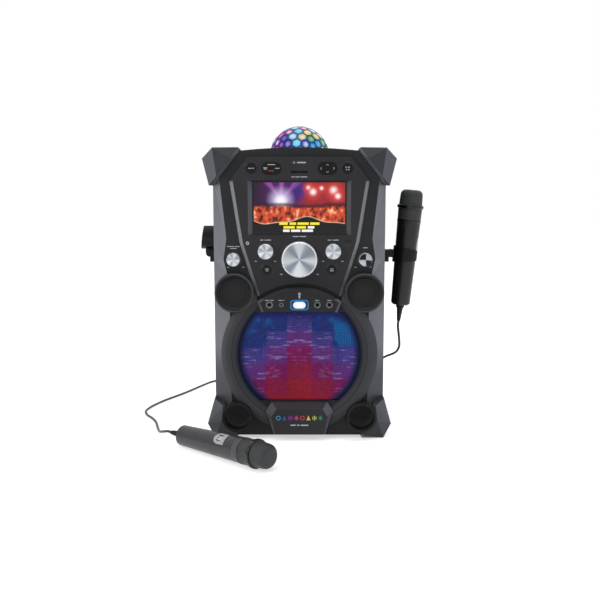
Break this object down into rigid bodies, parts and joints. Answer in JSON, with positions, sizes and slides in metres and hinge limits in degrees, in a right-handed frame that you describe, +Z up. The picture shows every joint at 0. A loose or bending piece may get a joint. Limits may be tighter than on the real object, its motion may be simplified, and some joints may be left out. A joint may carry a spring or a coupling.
{
  "type": "karaoke machine",
  "caption": "Upright karaoke machine with a side-loading disc tray, lit speaker grille, rotating light dome, folding holders and two wired microphones.",
  "frame": {"origin": "on the floor, under the middle of the cabinet's footprint, in the plane of its feet", "axes": "+Z up, -Y out of the front panel, +X to the right of someone facing the machine"},
  "size_m": [0.5169, 0.6146, 0.5334],
  "materials": {
    "casing": "fine satin texture",
    "panel": "satin",
    "guard": "satin",
    "strip": "satin silver-grey",
    "knob": "spun",
    "black": "semi-gloss",
    "white_light": "lit",
    "blue_light": "lit",
    "screen": "gloss",
    "grille": "lit",
    "lens": "faceted, clear",
    "speaker": "cloth and paper",
    "board": "solder mask",
    "chassis": "satin",
    "nickel": "polished",
    "gear": "acetal",
    "rubber": "matt",
    "mic_grey": "satin",
    "mic_black": "satin",
    "mesh": "woven"
  },
  "bodies": {
    "cabinet": {"front_casing": "casing", "rear_casing": "casing", "top_guards": "guard", "corner_feet": "guard", "control_panel": "panel", "trim_strips": "strip", "display_module": "screen", "jack_panel": "panel", "jack_sockets": "nickel", "light_ring": "blue_light", "woofer_ring": "casing", "light_grille": "grille", "led_board": "board", "woofer_driver": "speaker", "tweeter_rings": "casing", "tweeter_drivers": "speaker", "bass_ports": "casing", "nameplate": "panel", "dome_ring": "black", "dome_light_engine": "chassis", "circuit_boards": "board", "loader_frame": "chassis", "clamp_bridge": "chassis", "holder_brackets": "black", "holder_clip_right": "black", "case_screws": "nickel", "rubber_feet": "rubber", "potentiometers": "chassis", "rear_sockets": "black", "left_cord": "rubber", "left_coil": "rubber", "left_plug": "nickel", "right_cord": "rubber", "right_coil": "rubber", "right_plug": "nickel", "cord_ties": "rubber"},
    "dome": {"dome_lens": "lens"},
    "tray": {"disc_tray": "black"},
    "pinion": {"loading_pinion": "gear"},
    "spindle": {"turntable": "black"},
    "pickup": {"pickup_sled": "black"},
    "master": {"master_knob": "knob"},
    "mic_1": {"mic_1_knob": "knob"},
    "mic_2": {"mic_2_knob": "knob"},
    "instrument": {"instrument_knob": "knob"},
    "echo": {"echo_knob": "knob"},
    "power": {"power_button": "black"},
    "function": {"function_button": "black"},
    "direction": {"direction_pad": "black"},
    "play": {"play_button": "black"},
    "preset_left": {"preset_button_left": "black"},
    "preset_right": {"preset_button_right": "black"},
    "voice": {"voice_button": "white_light"},
    "left_holder": {"holder_clip_left": "black"},
    "left_mic": {"mic_left_body": "mic_grey", "mic_left_head": "mesh"},
    "left_switch": {"mic_left_switch": "nickel"},
    "right_mic": {"mic_right_body": "mic_black", "mic_right_head": "mesh"},
    "right_switch": {"mic_right_switch": "nickel"}
  },
  "joints": [
    {"name": "dome_spin", "type": "hinge", "parent": "cabinet", "child": "dome", "pos_m": [0, 0, 0.475], "axis": [0, 0, 1], "continuous": true},
    {"name": "tray_slide", "type": "slide", "parent": "cabinet", "child": "tray", "axis": [-1, 0, 0], "range_m": [0, 0.11781]},
    {"name": "pinion_spin", "type": "hinge", "parent": "cabinet", "child": "pinion", "pos_m": [-0.1311, 0.08975, 0.394], "axis": [0, 0, -1], "range_deg": [0, 772]},
    {"name": "turntable_spin", "type": "hinge", "parent": "cabinet", "child": "spindle", "pos_m": [-0.0729, 0.017, 0.383], "axis": [0, 0, 1], "continuous": true},
    {"name": "pickup_slide", "type": "slide", "parent": "cabinet", "child": "pickup", "axis": [1, 0, 0], "range_m": [0, 0.028]},
    {"name": "master_turn", "type": "hinge", "parent": "cabinet", "child": "master", "pos_m": [0, -0.11, 0.31], "axis": [0, 1, 0], "range_deg": [-150, 150]},
    {"name": "mic_1_turn", "type": "hinge", "parent": "cabinet", "child": "mic_1", "pos_m": [-0.056, -0.11, 0.323], "axis": [0, 1, 0], "range_deg": [-150, 150]},
    {"name": "mic_2_turn", "type": "hinge", "parent": "cabinet", "child": "mic_2", "pos_m": [0.056, -0.11, 0.323], "axis": [0, 1, 0], "range_deg": [-150, 150]},
    {"name": "instrument_turn", "type": "hinge", "parent": "cabinet", "child": "instrument", "pos_m": [-0.11, -0.11, 0.309], "axis": [0, 1, 0], "range_deg": [-150, 150]},
    {"name": "echo_turn", "type": "hinge", "parent": "cabinet", "child": "echo", "pos_m": [0.11, -0.11, 0.309], "axis": [0, 1, 0], "range_deg": [-150, 150]},
    {"name": "power_press", "type": "slide", "parent": "cabinet", "child": "power", "axis": [0, 1, 0], "range_m": [0, 0.001], "stiffness_N_per_m": 400, "springref_m": -0.0008},
    {"name": "function_press", "type": "slide", "parent": "cabinet", "child": "function", "axis": [0, 1, 0], "range_m": [0, 0.001], "stiffness_N_per_m": 400, "springref_m": -0.0008},
    {"name": "direction_press", "type": "slide", "parent": "cabinet", "child": "direction", "axis": [0, 1, 0], "range_m": [0, 0.001], "stiffness_N_per_m": 400, "springref_m": -0.0008},
    {"name": "play_press", "type": "slide", "parent": "cabinet", "child": "play", "axis": [0, 1, 0], "range_m": [0, 0.001], "stiffness_N_per_m": 400, "springref_m": -0.0008},
    {"name": "preset_left_press", "type": "slide", "parent": "cabinet", "child": "preset_left", "axis": [0, 1, 0], "range_m": [0, 0.001], "stiffness_N_per_m": 400, "springref_m": -0.0008},
    {"name": "preset_right_press", "type": "slide", "parent": "cabinet", "child": "preset_right", "axis": [0, 1, 0], "range_m": [0, 0.001], "stiffness_N_per_m": 400, "springref_m": -0.0008},
    {"name": "voice_press", "type": "slide", "parent": "cabinet", "child": "voice", "axis": [0, 1, 0], "range_m": [0, 0.001], "stiffness_N_per_m": 400, "springref_m": -0.0008},
    {"name": "left_holder_swing", "type": "hinge", "parent": "cabinet", "child": "left_holder", "pos_m": [-0.16, 0, 0.311], "axis": [0, -1, 0], "range_deg": [0, 95]},
    {"name": "left_mic_lift", "type": "slide", "parent": "cabinet", "child": "left_mic", "axis": [0, 0, 1], "range_m": [0, 0.1], "deforming": ["left_cord"]},
    {"name": "right_mic_lift", "type": "slide", "parent": "cabinet", "child": "right_mic", "axis": [0.0872, 0, 0.9962], "range_m": [0, 0.13], "deforming": ["right_cord"]},
    {"name": "left_switch_press", "type": "slide", "parent": "left_mic", "child": "left_switch", "axis": [0.4058, 0.4064, -0.8186], "range_m": [0, 0.001], "stiffness_N_per_m": 400, "springref_m": -0.0008},
    {"name": "right_switch_press", "type": "slide", "parent": "right_mic", "child": "right_switch", "axis": [-0.9962, 0, 0.0872], "range_m": [0, 0.001], "stiffness_N_per_m": 400, "springref_m": -0.0008}
  ],
  "couplings": [
    {"joint": "pinion_spin", "follows": "tray_slide", "rad_per_m": 114.29}
  ]
}
